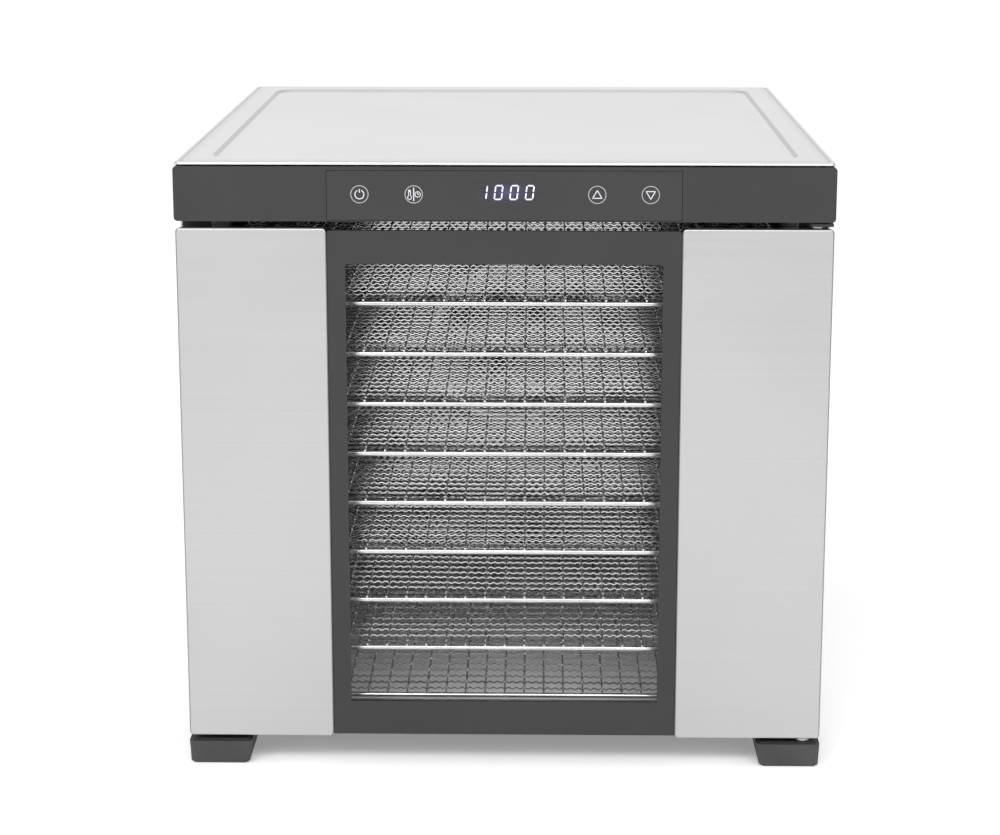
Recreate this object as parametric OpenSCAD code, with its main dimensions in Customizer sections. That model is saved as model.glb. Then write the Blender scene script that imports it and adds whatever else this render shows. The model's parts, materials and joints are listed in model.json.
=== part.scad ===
// Cabinet food dehydrator: steel case, ten sliding wire trays, a glazed front door and a rear fan.
// Millimetres. The origin is the centre of the footprint on the table.
// The door faces -Y, its hinge is on the +X side and +Z is up.

/* [Cabinet] */
// Overall width across the control band
case_w = 430; // [400:1:460]
// Overall depth from feet front to rear screw heads
case_d = 450; // [430:1:480]
// Height of the control band at the top of the front
band_h = 36; // [32:1:40]
// Thickness of the sheet steel
sheet = 1.2; // [0.8:0.1:1.5]
// Depth of the shallow tray pressed in the top
top_recess = 2.6; // [1:0.1:3]

/* [Door] */
// Thickness of the door
door_t = 19.4; // [17:0.1:20]
// Width of the glass window
window_w = 207.6; // [180:0.1:220]
// Width of the dark centre panel round the window
centre_w = 231; // [225:0.1:240]
// Thickness of the window glass
glass_t = 4; // [3:0.5:5]

/* [Trays] */
// Number of tray levels
tray_count = 10; // [10:1:10]
// Height from one tray to the next
tray_pitch = 34.7; // [30:0.1:34.7]
// Diameter of the rim rod
rim_d = 4; // [3:0.5:5]
// Diameter of the straight wires
wire_d = 1.4; // [1:0.1:1.8]
// Number of straight wires in a tray
wire_count = 27; // [15:1:33]

/* [Fan] */
// Radius of the fan blades
blade_r = 62; // [50:1:64]
// Number of fan blades
blade_count = 7; // [5:1:9]

/* [Feet] */
// Height of a foot
foot_h = 16.4; // [12:0.1:16.4]
// Width of a foot at its top
foot_w = 43; // [36:1:43]

/* [Hidden] */
$fn = 64;
e = 0.01;

// Levels from the table up
plate_z = foot_h;                       // underside of the foot plates
pan_z = plate_z + sheet;                // underside of the base pan
door_z0 = 20.3;
door_z1 = 371.7;
band_z1 = 412.3;
band_z0 = band_z1 - band_h;
cover_z1 = 415;
cover_rim_t = 1.8;
cover_z0 = cover_z1 - cover_rim_t;
floor_z = 26;                           // top of the cavity floor
ceiling_z = band_z0 + 0.6;              // underside of the cavity ceiling

// Depth stations from front to back
front_y = -case_d / 2;
rear_y = case_d / 2;
door_y0 = front_y + 0.6;
door_y1 = door_y0 + door_t;
shell_y = front_y + 22;                 // front edge of the steel case
baffle_y = 160;                         // cavity side of the rear baffle
rear_panel_y = rear_y - 2.4;            // inner face of the rear panel
screw_head_t = 1.2;

// Half widths
band_x = case_w / 2;
case_x = band_x - 1;                    // outside of the side panels
door_x = band_x - 0.4;
liner_x = band_x - 22.5;                // cavity side of the liner
tray_x = liner_x - 4.5;                 // outside of the tray rim
centre_x = centre_w / 2;
plate_in_x = centre_x + 0.3;            // inner edge of the steel door plates
window_x = window_w / 2;

// Window and centre panel of the door
window_z0 = 45.6;
window_z1 = 348;
centre_z0 = 22.5;
centre_z1 = 370;
core_z0 = 21.8;
core_z1 = 366;
core_y0 = door_y0 + sheet + 0.1;
core_y1 = door_y1 - sheet;
bezel_y = door_y0 + 0.7;
glass_y = bezel_y + 2;
glass_lap = 9;                          // glass hidden behind the centre panel
pocket_lap = glass_lap + 0.6;
retainer_lap = 5;                       // step back from the window edge to the retainer
inner_panel_lap = 5.4;

// Hinge line
hinge_x = band_x - 11.5;
hinge_y = front_y + 8;
pin_r = 3;
bush_gap = 0.06;
bush_r = 5;
bush_flange_r = 6;
bush_z0 = 18.9;
bracket_z = 373.2;                      // underside of the upper hinge bracket
bracket_t = 2;

// Trays and rails
tray_front_y = -193;
tray_rear_y = 150;
tray_z1 = 37.6;                         // rim rod centre of the lowest tray
wire_sink = 0.4;                        // depth of the straight wires in the rim rods
rim_r = rim_d / 2;
wire_r = wire_d / 2;
tray_corner_r = 10;
rail_gap = 0.3;
rail_t = 1.6;
rail_w = 9;
rail_y0 = -188;
rail_y1 = 146;

// Control band
panel_z0 = band_z0 + 1;
panel_z1 = band_z1 - 2.7;
panel_t = 2.4;
panel_gap = 0.3;
fascia_wall = 3;
key_z = 394;
board_y = front_y + 11;
board_t = 1.6;

// Fan, heater and motor
fan_z = 210;
inlet_r = 66;
fan_y = baffle_y + sheet + 10;
blade_depth = 16;
hub_r = 14;
shaft_r = 4;
shaft_gap = 0.06;
heater_r = 82;
heater_tube_r = 3.3;
heater_y = [baffle_y + 16, baffle_y + 26];
motor_y = baffle_y + 33;
motor_w = 56;
motor_h = 46;
motor_t = 20;
strut_x = 100;
strut_w = 20;
strut_y = baffle_y + 31;

// Rear panel
gland_x = 150;
gland_z = 60;
gland_bore_r = 3.5;
gland_r = 8;
vent_pitch = 10;
vent_h = 5;

// Feet and their plates
foot_x = band_x - foot_w / 2;
foot_front_y = front_y + foot_w / 2;
foot_rear_y = rear_y - 12 - foot_w / 2;

// ---------- shared shapes ----------

// A box given by its low and high corners
module slab(low, high) {
    translate(low) cube(high - low);
}

// A rectangle with round corners, centred, made of squares and circles
module round_rect(w, h, r) {
    square([w - 2 * r, h], center = true);
    square([w, h - 2 * r], center = true);
    for (x = [-1, 1], y = [-1, 1])
        translate([x * (w / 2 - r), y * (h / 2 - r)]) circle(r);
}

// An upright plate with round corners in the XZ plane, from y0 to y1
module front_plate(x0, x1, z0, z1, y0, y1, r) {
    translate([(x0 + x1) / 2, y1, (z0 + z1) / 2]) rotate([90, 0, 0])
        linear_extrude(y1 - y0) round_rect(x1 - x0, z1 - z0, r);
}

// A cylinder along +Y that starts at y0
module rod_y(x, y0, z, r, length) {
    translate([x, y0, z]) rotate([-90, 0, 0]) cylinder(r = r, h = length);
}

// A cylinder along +X that starts at x0
module rod_x(x0, y, z, r, length) {
    translate([x0, y, z]) rotate([0, 90, 0]) cylinder(r = r, h = length);
}

// A ring of round wire about the fan line
module wire_ring(ring_r, tube_r, y) {
    translate([0, y, fan_z]) rotate([90, 0, 0])
        rotate_extrude($fn = 96) translate([ring_r, 0]) circle(tube_r, $fn = 24);
}

// ---------- case ----------

// Top sheet with a raised rim and a shallow pressed recess
module top_cover() {
    cover_w = 2 * case_x;
    cover_d = case_d - 1;
    rim = 23;
    pan_w = cover_w - 2 * rim;
    pan_d = cover_d - 2 * rim;
    pan_r = 15;
    floor_top = cover_z1 - top_recess;
    color("whitesmoke") union() {
        translate([0, 0, cover_z0]) linear_extrude(cover_rim_t) difference() {
            round_rect(cover_w, cover_d, 3);
            round_rect(pan_w, pan_d, pan_r);
        }
        translate([0, 0, floor_top - sheet]) linear_extrude(sheet)
            round_rect(pan_w + 2 * sheet, pan_d + 2 * sheet, pan_r + sheet);
        translate([0, 0, floor_top - e]) linear_extrude(cover_z0 - floor_top + 2 * e)
            difference() {
                round_rect(pan_w + 2 * sheet, pan_d + 2 * sheet, pan_r + sheet);
                round_rect(pan_w, pan_d, pan_r);
            }
    }
}

// Right-hand side sheet with inward flanges along its top and bottom edges
module side_sheet() {
    flange = 9;
    z0 = pan_z + sheet;
    z1 = cover_z0 - 2 * sheet;
    slab([case_x - sheet, shell_y, z0], [case_x, rear_panel_y, cover_z0]);
    slab([case_x - flange, shell_y, z0], [case_x, rear_panel_y, z0 + sheet]);
    slab([case_x - flange, shell_y + 2, z1 - sheet], [case_x, rear_panel_y, z1]);
}

module left_side_panel() {
    color("silver") mirror([1, 0, 0]) side_sheet();
}

module right_side_panel() {
    color("silver") side_sheet();
}

// Bottom sheet of the case, with a short upturned lip along the back
module base_pan() {
    color("dimgray") union() {
        slab([-case_x, shell_y, pan_z], [case_x, rear_panel_y, pan_z + sheet]);
        slab([-liner_x, rear_panel_y - sheet, pan_z], [liner_x, rear_panel_y, pan_z + 8]);
    }
}

// A level slot with round ends, cut through the rear panel
module vent_slot(x, z, length) {
    translate([x, rear_panel_y - 1, z]) rotate([-90, 0, 0]) linear_extrude(4) {
        square([length - vent_h, vent_h], center = true);
        for (s = [-1, 1]) translate([s * (length - vent_h) / 2, 0]) circle(vent_h / 2, $fn = 24);
    }
}

// Back sheet with air slots behind the motor and above the cavity
module rear_panel() {
    vent_r = 66;
    color("silver") difference() {
        slab([-case_x, rear_panel_y, pan_z], [case_x, rear_panel_y + sheet, cover_z0]);
        for (k = [-6:6])
            vent_slot(0, fan_z + k * vent_pitch, 2 * sqrt(vent_r * vent_r - pow(k * vent_pitch, 2)));
        for (k = [-5:5]) vent_slot(k * 30, 395, 20);
        rod_y(gland_x, rear_panel_y - 1, gland_z, gland_r, 4);
    }
}

// Flanges round the sides and the bottom of the cavity mouth
module front_frame() {
    side_in = liner_x + sheet;
    side_out = case_x - sheet;
    z0 = pan_z + 2 * sheet;
    color("silver") union() {
        for (s = [0, 1]) mirror([s, 0, 0])
            slab([side_in, shell_y, z0], [side_out, shell_y + sheet, bracket_z - 0.1]);
        slab([-side_out, shell_y, z0], [side_out, shell_y + sheet, floor_z - sheet]);
    }
}

// Right-hand wall of the drying cavity
module liner_sheet() {
    slab([liner_x, shell_y + sheet, floor_z - sheet], [liner_x + sheet, baffle_y, ceiling_z]);
}

module liner_left() {
    color("lightgray") mirror([1, 0, 0]) liner_sheet();
}

module liner_right() {
    color("lightgray") liner_sheet();
}

module liner_floor() {
    color("lightgray")
        slab([-liner_x, shell_y, floor_z - sheet], [liner_x, baffle_y, floor_z]);
}

module liner_ceiling() {
    side = case_x - sheet;
    color("lightgray")
        slab([-side, shell_y + 1, ceiling_z], [side, baffle_y, ceiling_z + sheet]);
}

// Back wall of the cavity: a round fan inlet and upright air slots near both sides
module rear_baffle() {
    slot_w = 6;
    slot_len = 22;
    color("lightgray") difference() {
        slab([-liner_x - sheet, baffle_y, pan_z + sheet],
            [liner_x + sheet, baffle_y + sheet, ceiling_z + sheet]);
        rod_y(0, baffle_y - 1, fan_z, inlet_r, 4);
        for (x = [-165, -145, 145, 165], k = [0:8])
            front_plate(x - slot_w / 2, x + slot_w / 2, 45 + k * 36, 45 + k * 36 + slot_len,
                baffle_y - 1, baffle_y + 3, slot_w / 2 - e);
        for (x = [60, 95]) rod_y(x, baffle_y - 1, 300, 2, 4);
    }
}

// Ten level ledges on the right-hand wall, one under each tray edge
module rail_set() {
    for (n = [0:tray_count - 1]) {
        top = tray_z1 + n * tray_pitch - rim_r - rail_gap;
        slab([liner_x - rail_w, rail_y0, top - rail_t], [liner_x, rail_y1, top]);
    }
}

module tray_rails_left() {
    color("gainsboro") mirror([1, 0, 0]) rail_set();
}

module tray_rails_right() {
    color("gainsboro") rail_set();
}

// ---------- fan, heater and motor ----------

// Wire guard on the cavity side of the inlet: rings on six spokes
module fan_guard() {
    guard_y = baffle_y - 3;
    color("gainsboro") union() {
        wire_ring(inlet_r + 2.5, 1.8, guard_y);
        for (r = [18, 34, 50]) wire_ring(r, 1, guard_y);
        for (a = [0:60:300]) translate([0, guard_y + 1.2, fan_z]) rotate([0, a, 0])
            translate([7, 0, 0]) rotate([0, 90, 0]) cylinder(r = 1, h = inlet_r - 4.5, $fn = 24);
        rod_y(0, guard_y - 1, fan_z, 9, 2.4);
    }
}

// Short collar that leads air from the inlet to the fan
module fan_shroud() {
    collar = 7;
    flange_r = 74;
    color("silver") difference() {
        union() {
            rod_y(0, baffle_y + sheet, fan_z, inlet_r + sheet, collar);
            rod_y(0, baffle_y + sheet, fan_z, flange_r, sheet);
        }
        rod_y(0, baffle_y, fan_z, inlet_r, collar + 4);
    }
}

// Tube heater: two turns round the fan, with two straight ends
module heating_element() {
    color("slategray") union() {
        for (y = heater_y) wire_ring(heater_r, heater_tube_r, y);
        for (s = [0, 1])
            rod_y((s - 0.5) * 30, heater_y[s], fan_z - sqrt(heater_r * heater_r - 225),
                heater_tube_r - 0.3, baffle_y + 42 - heater_y[s]);
    }
}

// Four posts that hold the heater off the baffle
module heater_clips() {
    post = 5;
    color("silver") for (a = [45:90:315]) translate([0, 0, fan_z]) rotate([0, a, 0])
        difference() {
            slab([heater_r - 7, baffle_y + sheet, -post], [heater_r + 8, baffle_y + 31, post]);
            for (y = heater_y) translate([0, y, 0]) rotate([90, 0, 0])
                rotate_extrude($fn = 96) translate([heater_r, 0]) circle(heater_tube_r, $fn = 24);
        }
}

// Bridge across the back of the fan that carries the motor
module motor_bracket() {
    color("silver") difference() {
        union() {
            slab([-strut_x, strut_y, fan_z - strut_w / 2],
                [strut_x, strut_y + 2, fan_z + strut_w / 2]);
            for (s = [0, 1]) mirror([s, 0, 0]) {
                slab([strut_x - 2, baffle_y + sheet, fan_z - strut_w / 2],
                    [strut_x, strut_y + 2, fan_z + strut_w / 2]);
                slab([strut_x - 2, baffle_y + sheet, fan_z - strut_w / 2],
                    [strut_x + 14, baffle_y + 2 * sheet, fan_z + strut_w / 2]);
            }
        }
        rod_y(0, strut_y - 1, fan_z, 9, 4);
    }
}

// Laminated motor block with its coil and bearing bosses
module fan_motor() {
    half_w = motor_w / 2;
    half_h = motor_h / 2;
    color("darkslategray") difference() {
        union() {
            slab([-half_w, motor_y, fan_z - half_h],
                [half_w, motor_y + motor_t, fan_z + half_h]);
            slab([-half_w + 8, motor_y - 0.9, fan_z - half_h - 14],
                [half_w - 8, motor_y + motor_t + 3, fan_z - half_h + 2]);
            rod_y(0, motor_y - 1, fan_z, 8, motor_t + 5);
        }
        rod_y(0, motor_y - 2, fan_z, shaft_r + shaft_gap, motor_t + 4);
    }
}

// Round safety switch on the back of the baffle
module thermal_cutout() {
    color("black") union() {
        rod_y(60, baffle_y + sheet, 300, 9, 6);
        slab([46, baffle_y + sheet, 297], [74, baffle_y + 2 * sheet, 303]);
    }
}

// Air probe that looks into the cavity above the fan
module temperature_sensor() {
    color("silver") union() {
        rod_y(95, baffle_y - 7, 300, 2, 9);
        rod_y(95, baffle_y - 1.5, 300, 5, 1.5);
    }
}

// ---------- control band ----------

// Hollow band above the door, with a seat for the touch panel
module control_fascia() {
    back = shell_y;
    color("dimgray") difference() {
        front_plate(-band_x, band_x, band_z0, band_z1, front_y, back, 2.5);
        front_plate(-band_x + 2, band_x - 2, band_z0 + 2, band_z1 - 2,
            front_y + fascia_wall, back + 1, 2);
        front_plate(-centre_x, centre_x, panel_z0 - panel_gap, panel_z1 + panel_gap,
            front_y - 1, front_y + fascia_wall + 1, 1);
    }
}

// Flush touch panel
module touch_panel() {
    color("dimgray") front_plate(-centre_x + panel_gap, centre_x - panel_gap,
        panel_z0, panel_z1, front_y, front_y + panel_t, 1);
}

// Digit display behind the touch panel
module display_module() {
    color("black") slab([-22, front_y + panel_t, key_z - 9], [30, board_y, key_z + 9]);
}

// Circuit board for the touch keys
module control_board() {
    color("darkgreen") union() {
        slab([-centre_x + 8, board_y, band_z0 + 4], [centre_x - 8, board_y + board_t, band_z1 - 4]);
        for (x = [-92, -58, 62, 97]) rod_y(x, front_y + panel_t, key_z, 6, board_y - front_y - panel_t);
        slab([60, board_y + board_t, key_z - 6], [90, board_y + board_t + 5, key_z + 6]);
    }
}

// Mains board above the cavity, with its larger parts
module power_board() {
    z = ceiling_z + sheet + 6;
    color("darkgreen") union() {
        slab([-170, 40, z], [-60, 130, z + board_t]);
        slab([-160, 50, z + board_t], [-125, 85, z + 20]);
        slab([-110, 55, z + board_t], [-92, 70, z + 17]);
        for (x = [-100, -82]) translate([x, 105, z + board_t]) cylinder(r = 6, h = 16);
        slab([-165, 105, z + board_t], [-120, 118, z + 13]);
    }
}

// Four posts under the mains board
module board_standoffs() {
    color("white") for (x = [-165, -65], y = [45, 125])
        translate([x, y, ceiling_z + sheet]) cylinder(r = 3.5, h = 6);
}

// ---------- hinge, catch, feet and fixings ----------

// Flat arm in the slot above the door, which carries the upper pin
module hinge_bracket_top() {
    top = bracket_z + bracket_t;
    color("silver") union() {
        slab([hinge_x - 6, hinge_y, bracket_z], [case_x - sheet, shell_y + 20, top]);
        slab([hinge_x, front_y + 2, bracket_z], [case_x, shell_y - 0.2, top]);
        translate([hinge_x, hinge_y, bracket_z]) cylinder(r = 6, h = bracket_t);
    }
}

// Upper and lower hinge pins, each with a collar
module hinge_pins() {
    color("silver") translate([hinge_x, hinge_y, 0]) {
        translate([0, 0, pan_z]) cylinder(r = pin_r, h = 16);
        translate([0, 0, pan_z]) cylinder(r = 4.5, h = 0.8);
        translate([0, 0, bracket_z - 15]) cylinder(r = pin_r, h = 15);
        translate([0, 0, bracket_z - 0.8]) cylinder(r = 4.5, h = 0.8);
    }
}

// Steel strips that the door magnets pull on
module catch_plates() {
    color("gray") for (z = [70, 320])
        slab([-liner_x - 12, shell_y - 0.6, z - 15], [-liner_x - 6, shell_y, z + 15]);
}

// Square plates between the feet and the base pan. The front ones reach out under the door.
module foot_plates() {
    half = 19;
    color("silver") for (x = [-1, 1]) {
        slab([x * foot_x - half, foot_front_y - half, plate_z],
            [x * foot_x + half, foot_front_y + half + 10, pan_z]);
        slab([x * foot_x - half, foot_rear_y - half, plate_z],
            [x * foot_x + half, foot_rear_y + half, pan_z]);
    }
}

// One level of a foot, from its inner side x0 to its outer side x1
module foot_level(z, x0, x1, half_y) {
    translate([(x0 + x1) / 2, 0, z]) linear_extrude(e) round_rect(x1 - x0, 2 * half_y, 3);
}

// A rubber foot that narrows toward the table, more on its inner side, with a bevelled sole
module foot_shape() {
    half = foot_w / 2;
    knee_z = 9;
    inner_taper = 2;
    outer_taper = 0.7;
    bevel = 1.6;
    low_x0 = inner_taper - half;
    low_x1 = half - outer_taper;
    hull() {
        foot_level(0, low_x0 + bevel, low_x1 - bevel, low_x1 - bevel);
        foot_level(bevel, low_x0, low_x1, low_x1);
        foot_level(knee_z, -half, half - outer_taper / 2, half - outer_taper / 2);
        foot_level(foot_h - e, -half, half, half);
    }
}

module feet() {
    color("darkslategray") for (s = [0, 1], y = [foot_front_y, foot_rear_y])
        mirror([s, 0, 0]) translate([foot_x, y, 0]) difference() {
            foot_shape();
            translate([0, 0, -1]) cylinder(r = 5, h = 7);
            cylinder(r = 2.2, h = foot_h + 1);
        }
}

// Screws up through the feet
module foot_screws() {
    color("silver") for (x = [-1, 1], y = [foot_front_y, foot_rear_y])
        translate([x * foot_x, y, 0]) {
            translate([0, 0, 3.2]) cylinder(r = 4, h = 2.8);
            translate([0, 0, 6]) cylinder(r = 2, h = plate_z - 6);
        }
}

// Pan-head screws along the edges of both side panels
module side_screws() {
    color("silver") for (s = [0, 1], y = [-170, 10, 190], z = [50, 398])
        mirror([s, 0, 0]) rod_x(case_x, y, z, 3.6, 1);
}

// Pan-head screws round the rear panel
module rear_screws() {
    y = rear_panel_y + sheet;
    color("silver") {
        for (x = [-200, 0, 200], z = [30, 405]) rod_y(x, y, z, 3.6, screw_head_t);
        for (x = [-200, 200], z = [150, 280]) rod_y(x, y, z, 3.6, screw_head_t);
    }
}

// Strain relief for the power cord, with a flange and an inner nut
module cord_gland() {
    inner = 9;
    color("black") difference() {
        union() {
            rod_y(gland_x, rear_panel_y - inner, gland_z, gland_r, rear_y - rear_panel_y + inner);
            rod_y(gland_x, rear_panel_y + sheet, gland_z, 11, rear_y - rear_panel_y - sheet);
            rod_y(gland_x, rear_panel_y - 5, gland_z, 11, 5);
        }
        rod_y(gland_x, rear_panel_y - inner - 1, gland_z, gland_bore_r, 20);
    }
}

// ---------- door ----------

// Plan of the moulded core, with wide round corners at the back so that it swings clear
module core_plan() {
    corner = 8.5;
    x = door_x - sheet - 0.1;
    translate([-x, core_y0]) square([2 * x, core_y1 - core_y0 - corner]);
    translate([-x + corner, core_y0]) square([2 * (x - corner), core_y1 - core_y0]);
    for (s = [-1, 1]) translate([s * (x - corner), core_y1 - corner]) circle(corner);
}

// Moulded door core with the dark centre panel in one piece
module door_frame() {
    color("dimgray") difference() {
        union() {
            translate([0, 0, core_z0]) linear_extrude(core_z1 - core_z0) core_plan();
            front_plate(-centre_x, centre_x, centre_z0, centre_z1, bezel_y, bezel_y + 4, 1.5);
        }
        slab([-window_x, door_y0 - 1, window_z0], [window_x, door_y1, window_z1]);
        slab([-window_x - pocket_lap, glass_y, window_z0 - pocket_lap],
            [window_x + pocket_lap, door_y1, window_z1 + pocket_lap]);
        for (z = [core_z0 - 1, core_z1 - 16]) translate([hinge_x, hinge_y, z])
            cylinder(r = bush_r, h = 17);
        for (z = [70, 320])
            slab([-liner_x - 12, core_y1 - 4, z - 15], [-liner_x - 6, core_y1 + 1, z + 15]);
    }
}

// Right-hand steel cladding, folded round the edges of the door
module cladding() {
    flange_y = door_y0 + 14.4;
    lip_y = door_y0 + 3.4;
    edge_r = 3;
    difference() {
        union() {
            front_plate(plate_in_x, door_x, door_z0, door_z1, door_y0, door_y0 + sheet, edge_r);
            slab([door_x - sheet, door_y0 + 0.4, door_z0 + edge_r],
                [door_x, flange_y, door_z1 - edge_r]);
            slab([plate_in_x + edge_r, door_y0 + 0.4, door_z0],
                [door_x - edge_r, flange_y, door_z0 + sheet]);
            slab([plate_in_x + edge_r, door_y0 + 0.4, door_z1 - sheet],
                [door_x - edge_r, lip_y, door_z1]);
        }
        translate([hinge_x, hinge_y, door_z0 - 1]) cylinder(r = bush_flange_r + 0.3, h = 4);
    }
}

module door_plate_left() {
    color("silver") mirror([1, 0, 0]) cladding();
}

module door_plate_right() {
    color("silver") cladding();
}

// Tinted window pane
module door_glass() {
    color("lightslategray", 0.4)
        slab([-window_x - glass_lap, glass_y, window_z0 - glass_lap],
            [window_x + glass_lap, glass_y + glass_t, window_z1 + glass_lap]);
}

// A flat rectangular ring round the window, from y0 to y1
module window_ring(outer, inner, y0, y1) {
    difference() {
        slab([-window_x - outer, y0, window_z0 - outer], [window_x + outer, y1, window_z1 + outer]);
        slab([-window_x - inner, y0 - 1, window_z0 - inner],
            [window_x + inner, y1 + 1, window_z1 + inner]);
    }
}

module window_seal() {
    color("black") window_ring(glass_lap, retainer_lap, glass_y + glass_t, glass_y + glass_t + 2);
}

module glass_retainer() {
    color("gray") window_ring(glass_lap, retainer_lap, glass_y + glass_t + 2, core_y1);
}

// Steel sheet on the cavity side of the door
module door_inner_panel() {
    color("lightgray") difference() {
        slab([-liner_x, core_y1, floor_z], [liner_x, door_y1, core_z1 - 4]);
        slab([-window_x - inner_panel_lap, core_y1 - 1, window_z0 - inner_panel_lap],
            [window_x + inner_panel_lap, door_y1 + 1, window_z1 + inner_panel_lap]);
    }
}

// Soft strip round the back of the door that meets the cavity mouth
module door_seal() {
    width = 4;
    y1 = shell_y - 0.4;
    outer_x = liner_x + sheet + width;
    color("dimgray") difference() {
        slab([-outer_x, core_y1, core_z0 + 0.1], [outer_x, y1, core_z1 - 0.5]);
        slab([-outer_x + width, core_y1 - 1, core_z0 + 0.1 + 3.6],
            [outer_x - width, y1 + 1, core_z1 - 0.5 - 3.4]);
    }
}

module door_magnets() {
    color("black") for (z = [70, 320])
        slab([-liner_x - 12, core_y1 - 4, z - 15], [-liner_x - 6, core_y1 + 0.6, z + 15]);
}

// A flanged sleeve with a running bore for a hinge pin
module bush(z0, z1, flange_z0, flange_z1) {
    translate([hinge_x, hinge_y, 0]) difference() {
        union() {
            translate([0, 0, z0]) cylinder(r = bush_r, h = z1 - z0);
            translate([0, 0, flange_z0]) cylinder(r = bush_flange_r, h = flange_z1 - flange_z0);
        }
        translate([0, 0, z0 - 1]) cylinder(r = pin_r + bush_gap, h = z1 - z0 + 2);
    }
}

module hinge_bushes() {
    color("silver") {
        bush(bush_z0, core_z0 + 16, bush_z0, core_z0);
        bush(core_z1 - 16, core_z1 + sheet, core_z1, core_z1 + sheet);
    }
}

// ---------- fan rotor ----------

// Hub with pitched blades
module fan_blade() {
    pitch = 35;
    span = blade_r - hub_r + 2;
    color("silver") difference() {
        union() {
            rod_y(0, fan_y, fan_z, hub_r, blade_depth);
            for (k = [0:blade_count - 1]) translate([0, fan_y + blade_depth / 2, fan_z])
                rotate([0, k * 360 / blade_count, 0]) translate([hub_r - 2, 0, 0])
                    rotate([pitch, 0, 0]) translate([0, -0.7, -10]) cube([span, 1.4, 20]);
        }
        rod_y(0, fan_y - 1, fan_z, shaft_r, blade_depth + 2);
    }
}

module motor_shaft() {
    color("gray") rod_y(0, fan_y, fan_z, shaft_r, motor_y + motor_t + 1 - fan_y);
}

// ---------- trays ----------

// Rim rod bent into a rectangle with round corners
module tray_rim() {
    x = tray_x - rim_r;
    y0 = tray_front_y + rim_r;
    y1 = tray_rear_y - rim_r;
    r = tray_corner_r;
    for (s = [-1, 1]) rod_y(s * x, y0 + r, 0, rim_r, y1 - y0 - 2 * r);
    for (y = [y0, y1]) rod_x(-x + r, y, 0, rim_r, 2 * (x - r));
    for (c = [[-1, y0, 180], [1, y0, 270], [1, y1, 0], [-1, y1, 90]])
        translate([c[0] * (x - r), c[1] + (c[1] < 0 ? r : -r), 0])
            rotate([0, 0, c[2]]) rotate_extrude(angle = 90) translate([r, 0]) circle(rim_r);
}

// One tray: a rim with straight wires from front to back
module tray(n) {
    wire_span = 2 * (tray_x - 12);
    wire_pitch = wire_span / (wire_count - 1);
    y0 = tray_front_y + rim_r;
    y1 = tray_rear_y - rim_r;
    color("gainsboro") translate([0, 0, tray_z1 + (n - 1) * tray_pitch]) union() {
        tray_rim();
        for (k = [0:wire_count - 1])
            rod_y(-wire_span / 2 + k * wire_pitch, y0, rim_r + wire_r - wire_sink, wire_r, y1 - y0);
    }
}

top_cover();
left_side_panel();
right_side_panel();
base_pan();
rear_panel();
front_frame();
liner_left();
liner_right();
liner_floor();
liner_ceiling();
rear_baffle();
tray_rails_left();
tray_rails_right();
fan_guard();
fan_shroud();
heating_element();
heater_clips();
motor_bracket();
fan_motor();
thermal_cutout();
temperature_sensor();
control_fascia();
touch_panel();
display_module();
control_board();
power_board();
board_standoffs();
hinge_bracket_top();
hinge_pins();
catch_plates();
foot_plates();
feet();
foot_screws();
side_screws();
rear_screws();
cord_gland();
door_frame();
door_plate_left();
door_plate_right();
door_glass();
window_seal();
glass_retainer();
door_inner_panel();
door_seal();
door_magnets();
hinge_bushes();
fan_blade();
motor_shaft();
tray(1);  // tray_01
tray(2);  // tray_02
tray(3);  // tray_03
tray(4);  // tray_04
tray(5);  // tray_05
tray(6);  // tray_06
tray(7);  // tray_07
tray(8);  // tray_08
tray(9);  // tray_09
tray(10);  // tray_10
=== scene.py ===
"""Food dehydrator: camera, studio, materials and the detailed pieces that dress the CAD frame.

Metres, in the frame of the CAD model: the door faces -Y, its hinge is on +X, and +Z is up.
"""

import json
import math
import random

import bmesh
import bpy
from mathutils import Matrix, Vector


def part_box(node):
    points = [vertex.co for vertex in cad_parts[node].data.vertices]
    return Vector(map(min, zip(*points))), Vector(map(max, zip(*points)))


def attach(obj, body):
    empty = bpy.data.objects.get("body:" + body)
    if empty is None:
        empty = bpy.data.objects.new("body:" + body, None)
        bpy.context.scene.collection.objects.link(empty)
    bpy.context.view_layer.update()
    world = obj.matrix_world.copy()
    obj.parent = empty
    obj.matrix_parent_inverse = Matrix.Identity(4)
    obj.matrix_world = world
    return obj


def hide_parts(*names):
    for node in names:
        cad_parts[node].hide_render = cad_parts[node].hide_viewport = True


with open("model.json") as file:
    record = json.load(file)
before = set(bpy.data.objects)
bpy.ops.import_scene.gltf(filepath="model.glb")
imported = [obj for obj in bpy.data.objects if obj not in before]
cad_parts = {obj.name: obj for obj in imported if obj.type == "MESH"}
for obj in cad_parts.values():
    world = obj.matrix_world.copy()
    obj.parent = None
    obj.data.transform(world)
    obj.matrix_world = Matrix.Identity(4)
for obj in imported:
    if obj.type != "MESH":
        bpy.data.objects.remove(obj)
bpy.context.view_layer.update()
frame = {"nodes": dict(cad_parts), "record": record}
NODES = frame["nodes"]
MM = 0.001
SLOT_OF = {part["node"]: part["material_slot"] for part in frame["record"]["subparts"]}
TRAYS = sorted(name for name in NODES if name.startswith("tray_") and name[5:].isdigit())


# ---------- camera, light and floor ----------

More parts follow.
